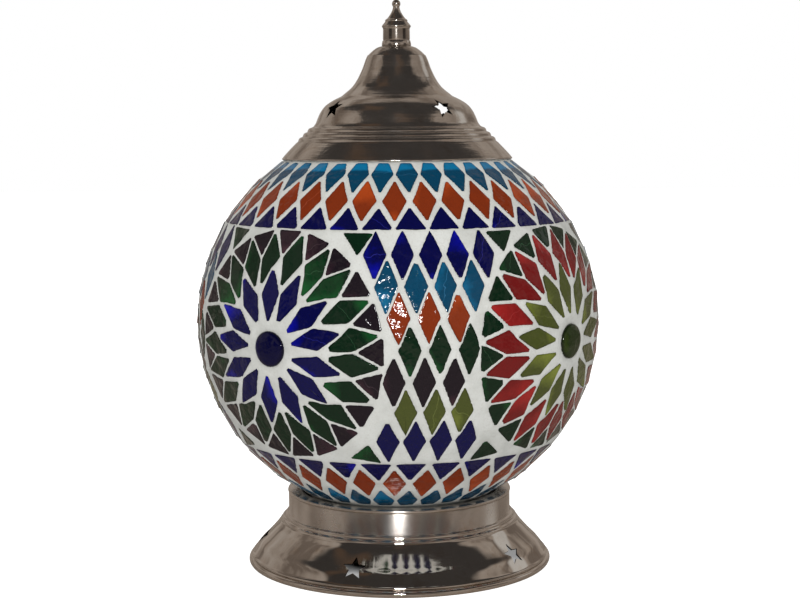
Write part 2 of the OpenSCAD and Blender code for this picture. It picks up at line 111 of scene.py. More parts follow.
def arc(centre, r, start, stop, n):
    """Points of a circle's arc in n short pieces, from angle start to stop in degrees."""
    angles = np.radians(np.linspace(start, stop, n + 1))
    return [np.array([centre[0] + r * math.cos(t), centre[1] + r * math.sin(t)]) for t in angles]


# ---------- materials ----------

class Nodes:
    """Short way to build a node tree."""

    def __init__(self, name):
        self.material = bpy.data.materials.new(name)
        self.material.use_nodes = True
        self.tree = self.material.node_tree
        self.bsdf = self.tree.nodes["Principled BSDF"]

    def add(self, kind, inputs=None, **settings):
        node = self.tree.nodes.new("ShaderNode" + kind)
        for key, value in settings.items():
            setattr(node, key, value)
        for key, value in (inputs or {}).items():
            self.put(node, key, value)
        return node

    def put(self, node, key, value):
        socket = node.inputs[key]
        if isinstance(value, bpy.types.NodeSocket):
            self.tree.links.new(value, socket)
        else:
            socket.default_value = value

    def set(self, **values):
        for key, value in values.items():
            self.put(self.bsdf, key.replace("_", " "), value)

    def math(self, operation, a, b=0.0):
        return self.add("Math", {0: a, 1: b}, operation=operation).outputs[0]

    def ramp(self, fac, stops):
        node = self.add("ValToRGB", {0: fac})
        elements = node.color_ramp.elements
        while len(elements) < len(stops):
            elements.new(0.5)
        for element, (place, value) in zip(elements, stops):
            element.position = place
            element.color = (*value, 1)
        return node.outputs[0]

    def fade(self, value, start, stop, low=0.0, high=1.0, smooth=False):
        """A number that goes from low to high as value goes from start to stop."""
        inputs = {"Value": value, "From Min": start, "From Max": stop, "To Min": low, "To Max": high}
        kind = "SMOOTHSTEP" if smooth else "LINEAR"
        return self.add("MapRange", inputs, interpolation_type=kind).outputs[0]

    def mix(self, fac, a, b):
        node = self.add("Mix", data_type="RGBA")
        self.put(node, 0, fac)
        self.put(node, 6, a if isinstance(a, bpy.types.NodeSocket) else (*a[:3], 1))
        self.put(node, 7, b if isinstance(b, bpy.types.NodeSocket) else (*b[:3], 1))
        return node.outputs[2]

    def noise(self, scale, detail, vector, roughness=0.5, w=None):
        """Noise over a vector, and over a fourth number w where one is given."""
        inputs = {"Scale": scale, "Detail": detail, "Roughness": roughness, "Vector": vector}
        if w is None:
            return self.add("TexNoise", inputs, noise_dimensions="3D").outputs[0]
        return self.add("TexNoise", {**inputs, "W": w}, noise_dimensions="4D").outputs[0]

    def bump(self, height, distance, strength=1.0, normal=None):
        node = self.add("Bump", {"Height": height, "Distance": distance, "Strength": strength})
        if normal is not None:
            self.put(node, "Normal", normal)
        return node.outputs[0]

    def place(self, scale=(1, 1, 1)):
        coord = self.add("TexCoord")
        mapping = self.add("Mapping", {"Vector": coord.outputs["Object"], "Scale": scale})
        return mapping.outputs[0]

    def facing(self, way, direction, start=0.955, stop=0.975):
        """1 where the vector way points into a cone around direction, soft at the cone's edge."""
        along = self.add("VectorMath", {0: way, 1: Vector(direction).normalized()},
                         operation="DOT_PRODUCT").outputs["Value"]
        return self.fade(along, start, stop, smooth=True)

    def attribute(self, name, output="Fac"):
        return self.add("Attribute", attribute_name=name).outputs[output]


# Each glass colour: deep tone, lit tone, and how much of the lit tone shows
GLASS = {
    "navy": ((0.0015, 0.002, 0.030), (0.002, 0.003, 0.30), 0.26),
    "turquoise": ((0.0015, 0.036, 0.076), (0.003, 0.125, 0.26), 0.42),
    "orange": ((0.155, 0.021, 0.005), (0.34, 0.048, 0.008), 0.42),
    "green": ((0.002, 0.011, 0.005), (0.004, 0.062, 0.014), 0.36),
    "purple": ((0.007, 0.005, 0.008), (0.045, 0.018, 0.026), 0.36),
    "olive": ((0.046, 0.055, 0.013), (0.15, 0.175, 0.028), 0.38),
    "red": ((0.115, 0.007, 0.007), (0.26, 0.014, 0.013), 0.45),
    "navy_round": ((0.0008, 0.001, 0.018), (0.001, 0.002, 0.10), 0.15),
    "olive_round": ((0.011, 0.020, 0.005), (0.04, 0.06, 0.008), 0.20),
}


def glass_material(colour, lit_end=False):
    """Deep-dyed glass; with lit_end, light gathers in each tile's upper end."""
    deep, lit, share = GLASS[colour]
    m = Nodes("glass_" + colour + ("_lit_end" if lit_end else ""))
    local = m.attribute("tile_place", "Vector")
    rand = m.attribute("tile_rand")
    rim = m.attribute("tile_rim")

    def own(factor):
        """A number of the tile's own, so that no two tiles share a pattern."""
        return m.math("MULTIPLY", rand, factor)

    # broad lit and deep patches, shifted from tile to tile
    patch = m.noise(0.055, 1.0, local, w=own(37.0))
    streak = m.noise(0.35, 4.0, local, roughness=0.6, w=own(91.0))
    level = m.math("ADD", m.math("MULTIPLY", patch, 1.1), m.math("MULTIPLY", rand, 0.30))
    level = m.math("ADD", level, m.math("MULTIPLY", streak, 0.25))
    # and a slope towards one end of each tile
    across, height, _ = m.add("SeparateXYZ", {0: local}).outputs
    turn = own(43.0)
    slope = m.math("ADD", m.math("MULTIPLY", across, m.math("COSINE", turn)),
                   m.math("MULTIPLY", height, m.math("SINE", turn)))
    level = m.math("ADD", level, m.math("MULTIPLY", slope, 0.022))
    cut = 1.16 - share * 0.75
    if lit_end:
        level = m.math("ADD", level, m.fade(height, -0.5, 4.5, -0.40, 0.5))
    fac = m.ramp(m.math("SUBTRACT", level, cut), [(0.0, (0, 0, 0)), (0.36, (1, 1, 1))])
    colour_now = m.mix(fac, deep, lit)
    # fine seeds and grain in the glass
    grain = m.noise(1.6, 3.0, local, w=rand)
    colour_now = m.mix(m.ramp(grain, [(0.35, (0, 0, 0)), (0.75, (0.10, 0.10, 0.10))]), colour_now, lit)
    # painted shade: the cut edge is darkened where the plaster meets it, standing in for the shadow and
    # refraction dark at the glass's edge
    edge = m.ramp(rim, [(0.0, (1, 1, 1)), (0.3, (0.3, 0.3, 0.3)), (0.7, (0, 0, 0))])
    colour_now = m.mix(edge, colour_now, tuple(0.35 * c for c in deep))
    # a hairline crack in some tiles
    turn = own(97.0)
    away = m.math("ADD", m.math("MULTIPLY", across, m.math("SINE", turn)),
                  m.math("MULTIPLY", height, m.math("COSINE", turn)))
    bend = m.noise(0.12, 2.0, local, w=own(53.0))
    bend = m.math("MULTIPLY", m.math("SUBTRACT", bend, 0.45), 9.0)
    away = m.math("ABSOLUTE", m.math("ADD", away, bend))
    line = m.ramp(away, [(0.0, (1, 1, 1)), (0.20, (0, 0, 0))])
    some = m.ramp(m.math("FRACT", own(11.3)), [(0.80, (0, 0, 0)), (0.82, (1, 1, 1))])
    line = m.mix(some, (0, 0, 0), line)
    pale = tuple(min(1.0, 1.6 * c + 0.05) for c in lit)
    colour_now = m.mix(m.math("MULTIPLY", line, 0.4), colour_now, pale)
    # slow waves, a fine skin and small open bubbles on the face, the bubbles with painted glints
    wave = m.noise(0.14, 2.0, local, w=own(17.0))
    skin = m.noise(1.1, 2.0, local, w=rand)
    bubble = m.add("TexVoronoi", {"Scale": 0.22, "Vector": local, "W": own(71.0)},
                   voronoi_dimensions="4D").outputs["Distance"]
    # painted highlight: pale dots where the bubbles lie, standing in for glints of light on them
    painted_bubble_glint = m.ramp(bubble, [(0.035, (0.7, 0.7, 0.7)), (0.06, (0, 0, 0))])
    colour_now = m.mix(painted_bubble_glint, colour_now, (0.75, 0.76, 0.75))
    normal = m.bump(wave, 0.0012)
    normal = m.bump(skin, 0.00012, 0.6, normal)
    normal = m.bump(m.ramp(bubble, [(0.0, (1, 1, 1)), (0.09, (0, 0, 0))]), 0.00025, 1.0, normal)
    m.set(Base_Color=colour_now, Roughness=m.fade(streak, 0.3, 0.8, 0.04, 0.12), Normal=normal)
    m.bsdf.inputs["IOR"].default_value = 1.52
    m.bsdf.inputs["Specular IOR Level"].default_value = 0.28
    return m.material


def grout_material():
    """Uneven white plaster with grey pits, and painted shade close to the tiles."""
    m = Nodes("white_plaster")
    place = m.place()
    cloud = m.noise(60, 5.0, place, roughness=0.6)
    fine = m.noise(900, 3.0, place, roughness=0.65)
    base = m.ramp(cloud, [(0.3, (0.42, 0.425, 0.40)), (0.55, (0.51, 0.515, 0.49)),
                          (0.8, (0.555, 0.56, 0.54))])
    pits = m.ramp(fine, [(0.30, (0.55, 0.55, 0.55)), (0.48, (0, 0, 0))])
    base = m.mix(pits, base, (0.42, 0.405, 0.37))
    # painted shade: the plaster is darkened along the tiles' edges, where shadow and the glass's edge look
    # dark
    edges = m.ramp(m.attribute("near_tile"), [(0.0, (0, 0, 0)), (1.0, (0.35, 0.35, 0.35))])
    base = m.mix(edges, base, (0.33, 0.32, 0.30))
    normal = m.bump(m.noise(420, 5.0, place, roughness=0.62), 0.0006, 0.8)
    normal = m.bump(fine, 0.00025, 0.7, normal)
    m.set(Base_Color=base, Normal=normal)
    m.bsdf.inputs["Roughness"].default_value = 0.82
    return m.material


NICKEL = (0.62, 0.58, 0.54)
POLISHED_ROUGHNESS = 0.03
POLISH_EDGE = 0.001      # half the height over which polished metal turns into brushed


def nickel_material(name, rough, brushed, relief, polished_below=0.0):
    """Nickel plate on spun brass: turning lines that draw highlights out along the profile,
    cloudy tarnish and specks; polished brighter below a height."""
    m = Nodes(name)
    place = m.place()
    lines = m.noise(1.0, 4.0, m.place((4, 4, 1400)), roughness=0.7)
    broad = m.noise(1.0, 3.0, m.place((10, 10, 230)))
    cloud = m.noise(32, 5.0, place, roughness=0.62)
    stain = m.noise(75, 6.0, place, roughness=0.7)
    specks = m.noise(900, 2.0, place)
    red, green, blue = NICKEL
    base = m.ramp(cloud, [(0.25, tuple(0.82 * c for c in NICKEL)), (0.55, NICKEL),
                          (0.85, (red * 1.06, green * 1.07, blue * 1.08))])
    brown = (red * 0.74, green * 0.60, blue * 0.47)
    base = m.mix(m.ramp(stain, [(0.54, (0, 0, 0)), (0.74, (0.55, 0.55, 0.55))]), base, brown)
    base = m.mix(m.ramp(specks, [(0.66, (0, 0, 0)), (0.72, (0.35, 0.35, 0.35))]), base, brown)
    height = m.add("SeparateXYZ", {0: place}).outputs["Z"]
    edge = (polished_below - POLISH_EDGE, polished_below + POLISH_EDGE)
    level = m.fade(height, *edge, POLISHED_ROUGHNESS, rough)
    rough_mix = m.math("MULTIPLY", m.math("ADD", m.math("MULTIPLY", cloud, 0.7), 0.65), level)
    rough_mix = m.math("ADD", rough_mix, m.math("MULTIPLY", lines, 0.02))
    worked = m.fade(height, *edge, 0.10, 0.6)
    normal = m.bump(lines, 0.00005 * relief, worked)
    normal = m.bump(broad, 0.0003 * relief, worked, normal)
    normal = m.bump(m.noise(330, 3.0, place), 0.00010 * relief, worked, normal)
    m.set(Base_Color=base, Roughness=rough_mix, Normal=normal)
    m.bsdf.inputs["Metallic"].default_value = 1.0
    m.bsdf.inputs["Anisotropic"].default_value = brushed
    m.bsdf.inputs["Anisotropic Rotation"].default_value = 0.25
    m.put(m.bsdf, "Tangent", m.add("Tangent", direction_type="RADIAL", axis="Z").outputs[0])
    return m.material


def metal_material(name, tone, rough):
    """Plain inner metal parts: brushed, slightly uneven."""
    m = Nodes(name)
    grain = m.noise(1.0, 4.0, m.place((900, 900, 120)), roughness=0.7)
    cloud = m.noise(70, 4.0, m.place())
    base = m.ramp(cloud, [(0.3, tuple(0.7 * c for c in tone)), (0.7, tone)])
    m.set(Base_Color=base, Roughness=m.math("ADD", m.math("MULTIPLY", grain, 0.2), rough - 0.1),
          Normal=m.bump(grain, 0.00008, 0.6))
    m.bsdf.inputs["Metallic"].default_value = 1.0
    return m.material


def moulded_material(name, tone, rough):
    """Moulded plastic or rubber: fine skin, dust in the low places."""
    m = Nodes(name)
    place = m.place()
    skin = m.noise(1500, 3.0, place)
    dust = m.noise(90, 5.0, place, roughness=0.65)
    base = m.ramp(dust, [(0.45, tone), (0.8, tuple(min(1.0, c + 0.05) for c in tone))])
    m.set(Base_Color=base, Roughness=m.math("ADD", m.math("MULTIPLY", dust, 0.2), rough - 0.1),
          Normal=m.bump(skin, 0.00006, 0.5))
    return m.material


def clear_glass_material(name, tint, rough):
    """Clear blown glass with a slow wave and a thin film of dust."""
    m = Nodes(name)
    wave = m.noise(45, 2.0, m.place())
    m.set(Normal=m.bump(wave, 0.0008, 0.35))
    film = m.noise(120, 4.0, m.place())
    m.put(m.bsdf, "Roughness", m.math("ADD", m.math("MULTIPLY", film, 0.04), rough))
    m.put(m.bsdf, "Base Color", m.ramp(film, [(0.3, tuple(0.97 * c for c in tint)), (0.7, tint)]))
    m.bsdf.inputs["Transmission Weight"].default_value = 1.0
    m.bsdf.inputs["IOR"].default_value = 1.45
    return m.material


# ---------- mosaic tiles ----------

TILE_COLOURS = {
    "top_turquoise_tiles": "turquoise", "top_orange_tiles": "orange", "top_navy_tiles": "navy",
    "bottom_navy_tiles": "navy", "bottom_orange_tiles": "orange",
    "bottom_turquoise_tiles": "turquoise",
    "lattice_navy_tiles": "navy", "lattice_turquoise_tiles": "turquoise",
    "lattice_orange_tiles": "orange", "lattice_green_tiles": "green",
    "lattice_purple_tiles": "purple", "lattice_olive_tiles": "olive",
    "corner_tiles": "green",
}
for side in ("front_left", "back_right"):
    TILE_COLOURS.update({side + "_petals": "navy", side + "_ring": "green", side + "_border": "purple"})
for side in ("front_right", "back_left"):
    TILE_COLOURS.update({side + "_petals": "olive", side + "_ring": "red", side + "_border": "green"})
CABOCHON_COLOURS = {"front_left_cabochon": "navy_round", "front_right_cabochon": "olive_round",
                    "back_right_cabochon": "navy_round", "back_left_cabochon": "olive_round"}


def islands(node):
    """The separate solids of a CAD node, each as an array of its corner points."""
    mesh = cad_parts[node].data
    bm = bmesh.new()
    bm.from_mesh(mesh)
    bmesh.ops.remove_doubles(bm, verts=bm.verts, dist=0.01 * MM)
    seen = set()
    found = []
    for start in bm.verts:
        if start.index in seen:
            continue
        stack = [start]
        seen.add(start.index)
        group = []
        while stack:
            v = stack.pop()
            group.append(tuple(v.co))
            for edge in v.link_edges:
                other = edge.other_vert(v)
                if other.index not in seen:
                    seen.add(other.index)
                    stack.append(other)
        found.append(np.array(group))
    bm.free()
    return found


class Tile:
    """A CAD tile's outline on its own plane: centre, axes east, north and outward, 2D corners."""

    def __init__(self, points):
        middle = points.mean(axis=0)
        self.out = globe_normal(middle)
        height = points @ self.out
        # the face's own corners, not those of the back
        top = points[height > height.max() - 1.2 * MM]
        self.centre = top.mean(axis=0)
        # exact plane of the face
        _, _, axes = np.linalg.svd(top - self.centre)
        normal = axes[2]
        self.out = normal * np.sign(normal @ self.out)
        self.east = np.cross([0, 0, 1], self.out)
        self.east /= np.linalg.norm(self.east)
        self.north = np.cross(self.out, self.east)
        flat = np.stack([(top - self.centre) @ self.east, (top - self.centre) @ self.north], axis=1)
        order = np.argsort(np.arctan2(flat[:, 1], flat[:, 0]))
        self.corners = flat[order]

    def place(self, flat, height):
        """Points of the tile's plane, raised by height, in the lamp's frame."""
        return (self.centre + flat[:, :1] * self.east + flat[:, 1:2] * self.north
                + np.asarray(height)[:, None] * self.out)


def hand_cut(corners):
    """The outline as cut by hand: corners a little off, some tips nipped, edges not quite straight."""
    turn = math.radians(np.clip(RNG.normal(0, 0.7), -1.2, 1.2))
    spin = np.array([[math.cos(turn), -math.sin(turn)], [math.sin(turn), math.cos(turn)]])
    shape = corners @ spin.T * RNG.uniform(0.995, 1.02)
    shape = shape + np.clip(RNG.normal(0, 0.12 * MM, shape.shape), -0.2 * MM, 0.2 * MM)
    out = []
    count = len(shape)
    for i in range(count):
        here, before, after = shape[i], shape[i - 1], shape[(i + 1) % count]
        a, b = before - here, after - here
        a, b = a / np.linalg.norm(a), b / np.linalg.norm(b)
        sharp = math.acos(np.clip(a @ b, -1, 1)) < math.radians(75)
        nip = (RNG.uniform(0.25, 0.6) if RNG.random() > 0.18 else RNG.uniform(1.0, 2.4)) * MM
        if not sharp:
            nip = RNG.uniform(0.25, 0.6) * MM
        out += [here + a * nip * RNG.uniform(0.8, 1.2), here + b * nip * RNG.uniform(0.8, 1.2)]
    return np.array(out)


def ragged(shape, step=1.5 * MM):
    """The outline with its edges divided and a little uneven."""
    out = []
    for i in range(len(shape)):
        a, b = shape[i], shape[(i + 1) % len(shape)]
        length = np.linalg.norm(b - a)
        n = max(1, int(round(length / step)))
        normal = np.array([b[1] - a[1], a[0] - b[0]]) / max(length, 1e-9)
        bow = RNG.normal(0, 0.12 * MM) if length > 6 * MM else 0.0
        for k in range(n):
            t = k / n
            off = bow * 4 * t * (1 - t) + (RNG.normal(0, 0.05 * MM) if 0 < k else 0.0)
            out.append(a + (b - a) * t + normal * off)
    return np.array(out)


def inward(shape, distance):
    """The closed outline moved inward along its mean normals."""
    before, after = np.roll(shape, 1, axis=0), np.roll(shape, -1, axis=0)
    along = after - before
    normal = np.stack([-along[:, 1], along[:, 0]], axis=1)
    normal /= np.maximum(np.linalg.norm(normal, axis=1, keepdims=True), 1e-12)
    return shape + normal * distance


def allowed_growth(node):
    """How far a tile may be cut over its CAD outline, where its neighbours leave room."""
    return 0.8 * MM if node.split("_")[-1] in ("petals", "ring", "border") else 0.55 * MM


def sampled(tile, step=1.0 * MM):
    """Points along the tile's CAD outline."""
    flat = []
    for a, b in zip(tile.corners, np.roll(tile.corners, -1, axis=0)):
        n = max(1, int(np.linalg.norm(b - a) / step))
        flat += [a + (b - a) * k / n for k in range(n)]
    return tile.place(np.array(flat), np.zeros(len(flat)))


class Neighbours:
    """Finds how near the other tiles' outlines are to a point."""

    def __init__(self, tiles):
        points = [(i, p) for i, tile in enumerate(tiles) for p in sampled(tile)]
        self.owner = [i for i, _ in points]
        self.tree = KDTree(len(points))
        for k, (_, p) in enumerate(points):
            self.tree.insert(p, k)
        self.tree.balance()

    def distance(self, index, point, reach=3.2 * MM):
        near = [d for _, k, d in self.tree.find_range(point, reach) if self.owner[k] != index]
        return min(near, default=reach)


def grown(tile, index, shape, most):
    """The outline moved out towards its neighbours, leaving a joint of JOINT_WIDTH for the plaster."""
    points = tile.place(shape, np.zeros(len(shape)))
    room = np.array([NEIGHBOURS.distance(index, p) for p in points])
    move = np.clip((room - JOINT_WIDTH) / 2, 0, most)
    for _ in range(3):
        move = np.minimum(move, (np.roll(move, 1) + move + np.roll(move, -1)) / 3)
    return inward(shape, -move[:, None])


JOINT_WIDTH = 1.15 * MM
TILE_BACK = -3.1 * MM    # a tile's back, near the glass, and the rise of its face to the middle
TILE_CROWN = 0.02 * MM
CAD_TILES = {node: [Tile(points) for points in islands(node)] for node in TILE_COLOURS}
ALL_TILES = [tile for tiles in CAD_TILES.values() for tile in tiles]
NEIGHBOURS = Neighbours(ALL_TILES)
TILE_LAYOUT = []         # (Tile, hand-cut outline) of every flat tile, for the plaster
CABOCHONS = []           # (middle, outward axis, radius) of every cabochon


def build_tiles(node, material):
    """All the tiles of one CAD node as one piece of bevelled, hand-cut glass."""
    verts, faces, rims, rands, places = [], [], [], [], []
    for tile in CAD_TILES[node]:
        shape = ragged(hand_cut(tile.corners))
        shape = grown(tile, len(TILE_LAYOUT), shape, allowed_growth(node))
        TILE_LAYOUT.append((tile, shape))
        rand = RNG.random()
        shift = RNG.uniform(-0.22, -0.02) * MM
        slope = np.clip(RNG.normal(0, 0.008, 2), -0.012, 0.012)
        n = len(shape)
        middle = shape.mean(axis=0)
        # outline rings from the plaster up over the rounded edge, then in towards the middle
        rings = [(shape, TILE_BACK, 0.0), (shape, -0.42 * MM, 0.0),
                 (inward(shape, 0.10 * MM), -0.14 * MM, 0.12),
                 (inward(shape, 0.34 * MM), -0.02 * MM, 0.35)]
        for keep in (0.86, 0.62, 0.32):
            rings.append((middle + (inward(shape, 0.4 * MM) - middle) * keep,
                          TILE_CROWN * (1 - keep), min(1.0, 0.45 + 1.6 * (1 - keep))))
        base = len(verts)
        for flat, height, rim in rings:
            if height == TILE_BACK:
                # the back follows the clear glass
                points_3d = tile.place(flat, np.zeros(n))
                u = np.arctan2((points_3d[:, 2] - GLOBE_Z) / GLOBE_H,
                               np.hypot(points_3d[:, 0], points_3d[:, 1]) / GLOBE_R)
                lon = np.arctan2(points_3d[:, 0], -points_3d[:, 1])
                ring_3d = globe_point(u, lon, GLASS_FACE - 0.03 * MM)
            else:
                ring_3d = tile.place(flat, height + shift + flat @ slope)
            verts.extend(ring_3d)
            rims.extend([rim] * n)
            rands.extend([rand] * n)
            places.extend(np.column_stack([flat / MM, np.full(n, height / MM)]))
        verts.extend(tile.place(middle[None], [TILE_CROWN + shift + middle @ slope]))
        rims.append(1.0)
        rands.append(rand)
        places.append([*(middle / MM), 0.0])
        apex = len(verts) - 1
        count = len(rings)
        for r in range(count - 1):
            for i in range(n):
                j = (i + 1) % n
                faces.append((base + r * n + i, base + r * n + j,
                              base + (r + 1) * n + j, base + (r + 1) * n + i))
        last = base + (count - 1) * n
        faces.extend((last + i, last + (i + 1) % n, apex) for i in range(n))
        faces.append(tuple(base + i for i in reversed(range(n))))
    piece = new_piece("glass_" + node, verts, faces, "globe", (node,), material)
    add_float_attribute(piece.data, "tile_rim", rims)
    add_float_attribute(piece.data, "tile_rand", rands)
    add_vector_attribute(piece.data, "tile_place", places)


DOME = 2.9 * MM          # rise of a cabochon over its rim


def build_cabochon(node, material):
    """A domed round of glass with a rolled edge."""
    points = islands(node)[0]
    middle = points.mean(axis=0)
    out = globe_normal(middle)
    height = points @ out
    centre = middle + out * (height.max() - middle @ out)
    spread = points - middle
    radius = np.linalg.norm(spread - np.outer(spread @ out, out), axis=1).max()
    east = np.cross([0, 0, 1], out)
    east /= np.linalg.norm(east)
    north = np.cross(out, east)
    thick = height.max() - height.min()
    n = 64
    profile = [(1.0, -thick), (1.0, -DOME)] + [
        (math.cos(t) ** 0.75, -DOME + DOME * math.sin(t) ** 0.9)
        for t in np.radians([12, 24, 38, 52, 66, 78])]
    verts, rims, places = [], [], []
    wobble = 1 + 0.012 * np.sin(3 * np.linspace(0, 2 * np.pi, n, endpoint=False) + 1.0)
    for scale, drop in profile:
        for k in range(n):
            t = 2 * math.pi * k / n
            flat = np.array([math.cos(t), math.sin(t)]) * radius * scale * wobble[k]
            verts.append(centre + flat[0] * east + flat[1] * north + drop * out)
            rims.append(min(1.0, (1 - scale) * 4.0))
            places.append([*(flat / MM), drop / MM])
    verts.append(centre)
    rims.append(1.0)
    places.append([0, 0, 0])
    faces = [(r * n + i, r * n + (i + 1) % n, (r + 1) * n + (i + 1) % n, (r + 1) * n + i)
             for r in range(len(profile) - 1) for i in range(n)]
    last = (len(profile) - 1) * n
    faces += [(last + i, last + (i + 1) % n, len(verts) - 1) for i in range(n)]
    faces.append(tuple(reversed(range(n))))
    piece = new_piece("glass_" + node, verts, faces, "globe", (node,), material)
    add_float_attribute(piece.data, "tile_rim", rims)
    add_float_attribute(piece.data, "tile_rand", [0.5] * len(verts))
    add_vector_attribute(piece.data, "tile_place", places)
    CABOCHONS.append((centre - out * DOME, out, radius))


# ---------- plaster ----------

def outside_distance(flat, shape):
    """Signed distance from 2D points to a closed outline, positive outside."""
    a = shape
    b = np.roll(shape, -1, axis=0)
    ab = b - a
    ap = flat[:, None, :] - a[None]
    t = np.clip((ap * ab).sum(-1) / (ab * ab).sum(-1), 0, 1)
    gap = np.linalg.norm(ap - t[..., None] * ab, axis=-1).min(axis=1)
    crossing = ((a[None, :, 1] > flat[:, None, 1]) != (b[None, :, 1] > flat[:, None, 1]))
    x_at = a[None, :, 0] + (flat[:, None, 1] - a[None, :, 1]) / np.where(
        ab[None, :, 1] == 0, 1e-12, ab[None, :, 1]) * ab[None, :, 0]
    inside = (crossing & (flat[:, None, 0] < x_at)).sum(axis=1) % 2 == 1
    return np.where(inside, -gap, gap)


TILE_REACH = 19 * MM     # no tile shapes the plaster farther than this from its middle


def build_grout(material):
    """Plaster wiped between the tiles: it climbs to each tile's edge and is sunk under the tiles."""
    columns, rows = 560, 190
    widest = GLOBE_R - TILE_FACE
    u = np.linspace(-math.acos(GROUT_LOW_R / widest), math.acos(GROUT_HIGH_R / widest), rows)
    lon = np.linspace(0, 2 * math.pi, columns, endpoint=False)
    uu, ll = np.meshgrid(u, lon, indexing="ij")
    uu, ll = uu.ravel(), ll.ravel()
    surface = globe_point(uu, ll, TILE_FACE + 0.12 * MM)
    normal = globe_normal(surface)
    total = np.full(len(surface), 0.25)
    lifted = np.zeros(len(surface))
    sunk = np.zeros(len(surface))
    nearest = np.full(len(surface), 1.0)
    for tile, shape in TILE_LAYOUT:
        near = np.where(((surface - tile.centre) ** 2).sum(axis=1) < TILE_REACH ** 2)[0]
        rel = surface[near] - tile.centre
        drop = rel @ tile.out / np.maximum(normal[near] @ tile.out, 0.2)
        on_plane = rel - drop[:, None] * normal[near]
        flat = np.stack([on_plane @ tile.east, on_plane @ tile.north], axis=1)
        gap = outside_distance(flat, shape)
        weight = np.exp(-np.clip(gap, 0, None) / (1.3 * MM)) * (gap > -3 * MM)
        total[near] += weight
        lifted[near] += weight * (-drop - 0.22 * MM)
        sunk[near] = np.maximum(sunk[near], np.clip(-gap - 0.35 * MM, 0, 1.2 * MM))
        nearest[near] = np.minimum(nearest[near], np.abs(gap))
    for middle, out, radius in CABOCHONS:
        rel = surface - middle
        aside = np.linalg.norm(rel - np.outer(rel @ out, out), axis=1)
        ahead = (rel @ out) > -0.02
        sunk[ahead] = np.maximum(sunk[ahead], np.clip(radius - 0.3 * MM - aside[ahead], 0, 1.2 * MM))
        gap = np.abs(aside[ahead] - radius)
        nearest[ahead] = np.minimum(nearest[ahead], gap)
    rough = RNG.normal(0, 0.05 * MM, (rows, columns))
    rough = (rough + np.roll(rough, 1, 0) + np.roll(rough, 1, 1) + np.roll(rough, -1, 1)) / 2
    height = lifted / total - sunk + rough.ravel() * (sunk < 0.1 * MM)
    outer = surface + normal * height[:, None]
    inner = globe_point(uu, ll, GLASS_FACE - 0.06 * MM)
    verts = np.vstack([outer, inner])
    count = rows * columns
    r, c = np.meshgrid(np.arange(rows - 1), np.arange(columns), indexing="ij")
    r, c = r.ravel(), c.ravel()
    d = (c + 1) % columns
    below, above = r * columns, (r + 1) * columns
    quads = np.stack([below + c, below + d, above + d, above + c], axis=1)
    faces = np.vstack([quads, quads[:, ::-1] + count])
    ring = np.arange(columns)
    nxt = (ring + 1) % columns
    low = np.stack([ring, ring + count, nxt + count, nxt], axis=1)
    top = (rows - 1) * columns
    high = np.stack([top + ring, top + nxt, top + nxt + count, top + ring + count], axis=1)
    faces = np.vstack([faces, low, high])
    piece = new_piece("plaster_grout", verts, faces, "globe", ("grout_bed",), material)
    near_tile = np.exp(-nearest / (0.35 * MM))
    add_float_attribute(piece.data, "near_tile", np.concatenate([near_tile, np.zeros(count)]))


glass = {colour: glass_material(colour) for colour in GLASS}
lit_turquoise = glass_material("turquoise", lit_end=True)
for node, colour in TILE_COLOURS.items():
    build_tiles(node, lit_turquoise if node == "top_turquoise_tiles" else glass[colour])
for node, colour in CABOCHON_COLOURS.items():
    build_cabochon(node, glass[colour])
build_grout(grout_material())

# ---------- spun metal ----------

# The outlines are (radius, height) in mm, walked from the rim upwards along the outer face
foot_line = (
    [(90.5, 0), (93.3, 0)] + arc((93.1, 2), 2, -70, 70, 14) + arc((92.1, 5.1), 1, -60, 60, 8)
    + spline([(92.0, 6.6), (88.2, 11.5), (84.3, 15.4), (80.6, 19.3), (77.3, 23.1), (75.2, 26)], 10)
    + arc((73.0, 27), 1.3, 0, 80, 8) + arc((70.8, 29.6), 1.2, -20, 85, 8)
    + [(69.8, 31.2), (69.8, 43.4), (69.4, 43.7)] + arc((69.1, 45.1), 1.1, -50, 90, 10)
    + [(63.5, 46.2), (61.8, 45.8)])


def ridge_line(start, stop, count, height, steps=12):
    """Ring ridges along a straight slope, each in that many steps."""
    start, stop = np.array(start), np.array(stop)
    along = (stop - start) / np.linalg.norm(stop - start)
    side = np.array([along[1], -along[0]])
    return [start + (stop - start) * s + side * height * abs(math.sin(math.pi * count * s))
            for s in np.linspace(0, 1, count * steps + 1)]


cap_line = (
    [(70.5, 251.9), (71.2, 252.3), (71.2, 252.9), (70.7, 253.4)]
    + spline([(70, 254.3), (66.6, 258), (62.5, 262.2)], 8)
    + ridge_line((61.2, 263.2), (52.6, 271.8), 3, 0.8)
    + spline([(51.6, 272.4), (50.2, 274.4), (48.7, 278), (46.8, 281.7), (43.9, 285.2), (39.5, 288.2),
              (34.2, 290.8)], 10)
    + spline([(32.9, 291.9), (27.8, 296.2), (24.3, 301.1), (21.3, 307.2), (19.3, 312.6), (18, 315.6)], 10)
    + spline([(17.2, 316.2), (15.2, 318.1), (12.2, 320.3), (9.6, 321.2)], 8)
    + [(3.3, 321.2)])


def line_normals(line):
    """Unit normals pointing to the right of the walk along the line, which is outward here."""
    p = np.array([tuple(q) for q in line], dtype=float)
    step = np.diff(p, axis=0)
    step /= np.linalg.norm(step, axis=1, keepdims=True)
    before = np.vstack([step[:1], step])
    after = np.vstack([step, step[-1:]])
    along = before + after
    along /= np.linalg.norm(along, axis=1, keepdims=True)
    return p, np.stack([along[:, 1], -along[:, 0]], axis=1)


